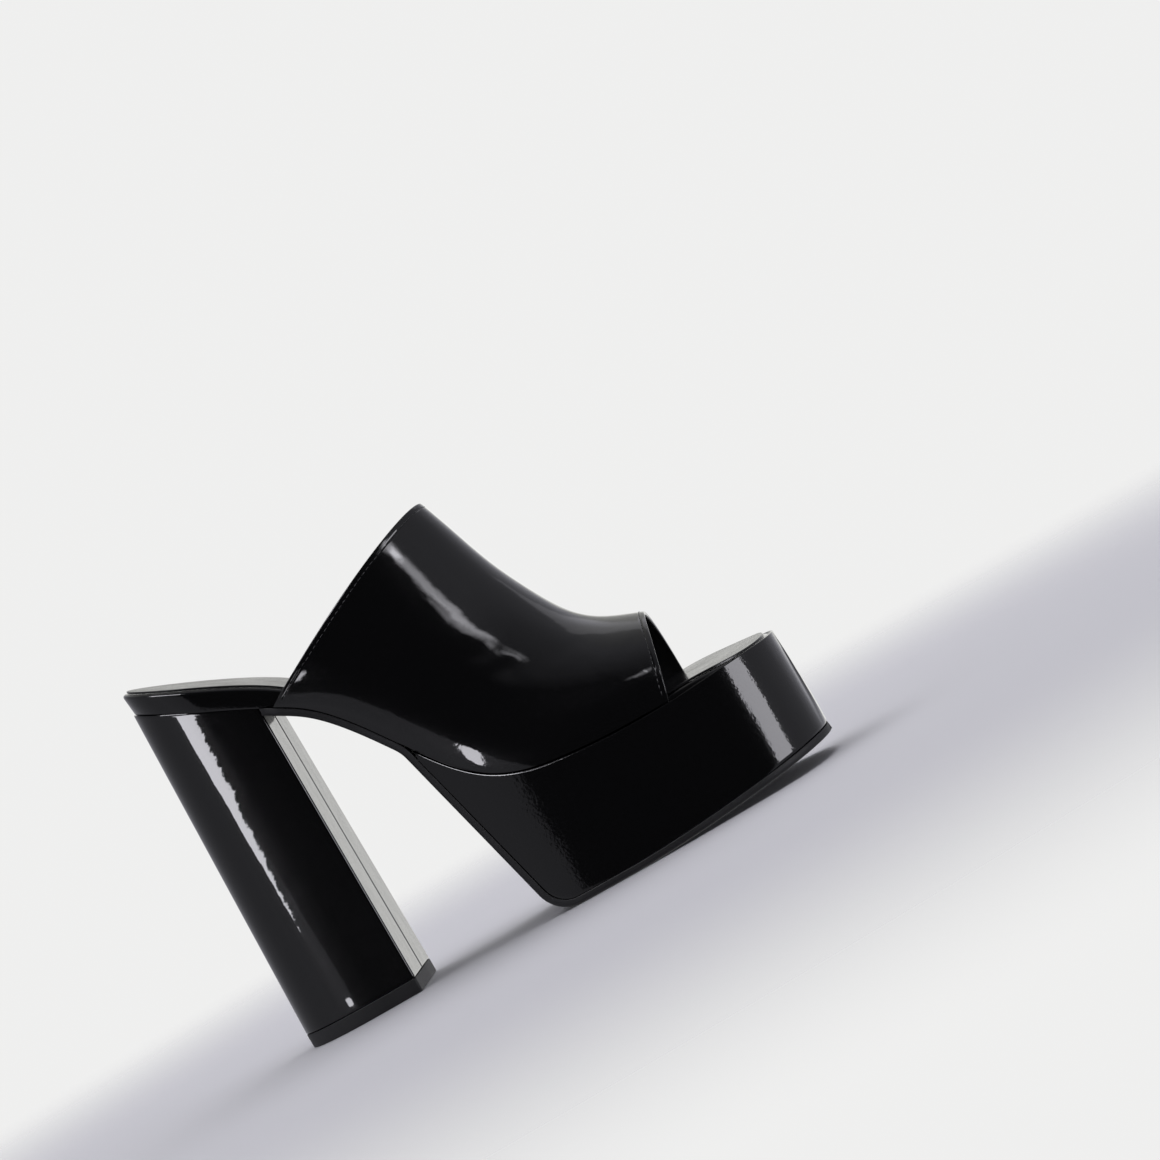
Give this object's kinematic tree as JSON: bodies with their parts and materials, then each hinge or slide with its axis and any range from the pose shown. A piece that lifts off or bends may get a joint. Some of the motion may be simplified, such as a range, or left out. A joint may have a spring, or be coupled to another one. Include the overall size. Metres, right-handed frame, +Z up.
{
  "type": "platform mule",
  "caption": "High-heeled backless platform shoe with an open toe, a wide closed vamp band, a thick covered platform and a tall block heel.",
  "frame": {"origin": "on the floor, under the middle of the shoe's bounding box", "axes": "+X from heel to toe, +Y across to the medial (big toe) side, +Z up"},
  "size_m": [0.2186, 0.0906, 0.15],
  "materials": {
    "upper_leather": "black patent, mirror gloss",
    "insole_cover": "black patent, mirror gloss",
    "sock_leather": "black, smooth, low gloss",
    "platform_cover": "black patent, mirror gloss",
    "heel_cover": "black patent, mirror gloss",
    "outsole_rubber": "black, matte",
    "top_piece_rubber": "black, matte"
  },
  "bodies": {
    "root": {"upper": "upper_leather", "insole": "insole_cover", "sock_lining": "sock_leather", "platform": "platform_cover", "heel": "heel_cover", "outsole": "outsole_rubber", "heel_top_piece": "top_piece_rubber"}
  },
  "joints": []
}
